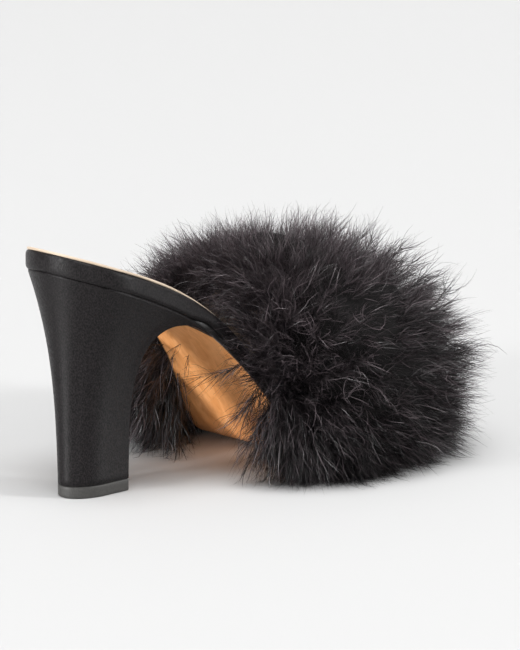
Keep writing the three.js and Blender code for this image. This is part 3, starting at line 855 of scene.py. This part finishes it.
def strip_mesh(name, left, right):
    """A mesh of flat strips between left and right edges, with a quad for each step along them."""
    points = np.stack([left, right], axis=2)
    size = 2 * (BARB_STEPS + 1)
    strip = np.array([(2 * k, 2 * k + 1, 2 * k + 3, 2 * k + 2) for k in range(BARB_STEPS)])
    quads = (np.arange(len(left))[:, None, None] * size + strip[None]).reshape(-1, 4)
    mesh = bpy.data.meshes.new(name)
    mesh.vertices.add(len(left) * size)
    mesh.vertices.foreach_set("co", points.astype(np.float32).ravel())
    mesh.loops.add(quads.size)
    mesh.loops.foreach_set("vertex_index", quads.astype(np.int32).ravel())
    mesh.polygons.add(len(quads))
    mesh.polygons.foreach_set("loop_start", np.arange(0, quads.size, 4, dtype=np.int32))
    mesh.update(calc_edges=True)
    return mesh


def plume_barbs(name, root, aim, length):
    """All barbs of these plumes as one piece of strips, without those that would run through the
    sole. A barb narrows with the power 1.5 of the share along it. A few are wide, with a painted
    highlight: a much paler tone. A barb's tone rises towards its tip and with its height over the
    floor, which is painted shade at its root and near the floor and painted light at its tip and on
    the crown. It also differs a little at random between plumes and between barbs."""
    path, leave, plume = barb_paths(root, aim, length)
    path[..., 2] = kept_off_floor(path[..., 2])
    kept = ~through_sole(path)
    path = path[kept]
    leave = leave[kept]
    count = len(path)
    t = np.linspace(0, 1, BARB_STEPS + 1)
    highlit = rng.uniform(size=count) < HIGHLIT_SHARE
    width = np.where(highlit, rng.uniform(*HIGHLIT_WIDTH, count), rng.uniform(*FINE_WIDTH, count)) * mm
    width = width[:, None, None] * (1 - BARB_TAPER * t[:, None] ** 1.5)
    flat = unit(np.cross(leave, rng.normal(0, 1, (count, 3))))[:, None, :] * width / 2
    mesh = strip_mesh(name, path - flat, path + flat)
    plume_tone = rng.normal(0.01, 0.08, len(root))[plume][kept]
    # The wide barbs' tone is raised by a half: a painted highlight.
    tone = plume_tone + np.where(highlit, 0.5, rng.normal(0, 0.08, count))
    # Painted shade darkens each barb at its root and near the floor; painted light brightens its tip and
    # the crown.
    tone = tone[:, None] + 0.2 * t + 0.2 * (path[..., 2] / PAINTED_LIGHT_HEIGHT - 1)
    tone = np.clip(np.repeat(tone, 2, axis=1), 0, 1)
    layer = mesh.attributes.new("tone", "FLOAT", "POINT")
    layer.data.foreach_set("value", tone.astype(np.float32).ravel())
    piece = bpy.data.objects.new(name, mesh)
    scene.collection.objects.link(piece)
    return piece


down, down_shader = new_material("down")
down_shader.inputs["Roughness"].default_value = 0.36
down_shader.inputs["Specular IOR Level"].default_value = 0.5
down_tone = down.node_tree.nodes.new("ShaderNodeAttribute")
down_tone.attribute_name = "tone"
down_colour = shade(down_tone.outputs["Fac"], 0.05, (0.0025, 0.002, 0.0022), 0.95, (0.15, 0.12, 0.13))
feed(down_shader, "Base Color", down_colour)

# A row for each stretch of the band: its shares from the rear to the front edge and from the outer
# foot round to the inner one, the number of its plumes, their tilt in degrees at its rear and at its
# front, and their drop.
STRETCH_COLUMNS = ("name", "along", "round", "count", "tilt", "drop")
DOWN_STRETCHES = [
    ("down_outer_low", (0, 1), (0.0, 0.12), 310, (-50, 58), 2.2),
    ("down_outer_rear", (0, 0.5), (0.0, 0.09), 160, (-45, 5), 3.0),
    ("down_outer_wisps", (0, 0.2), (0.0, 0.1), 16, (-95, -72), 0.7),
    ("down_outer_side", (0, 1), (0.02, 0.26), 280, (-62, 68), 0.3),
    ("down_outer_crown", (0, 1), (0.26, 0.5), 310, (-72, 60), 0),
    ("down_inner_crown", (0, 1), (0.5, 0.74), 310, (-72, 60), 0),
    ("down_inner_side", (0, 1), (0.74, 0.98), 250, (-62, 68), 0.3),
    ("down_inner_low", (0, 1), (0.88, 1.0), 230, (-50, 58), 2.0),
    ("down_inner_rear", (0, 0.45), (0.91, 1.0), 110, (-70, -25), 3.2),
    ("down_throat", (0, 0.1), (0.03, 0.97), 120, (-95, -70), 0.9),
]
for row in DOWN_STRETCHES:
    stretch = dict(zip(STRETCH_COLUMNS, row))
    shafts = plume_shafts(
        stretch["along"], stretch["round"], stretch["count"], stretch["tilt"], stretch["drop"]
    )
    plumes = plume_barbs(stretch["name"], *shafts)
    plumes.data.materials.append(down)
    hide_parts("marabou_trim")
    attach(plumes, "root")
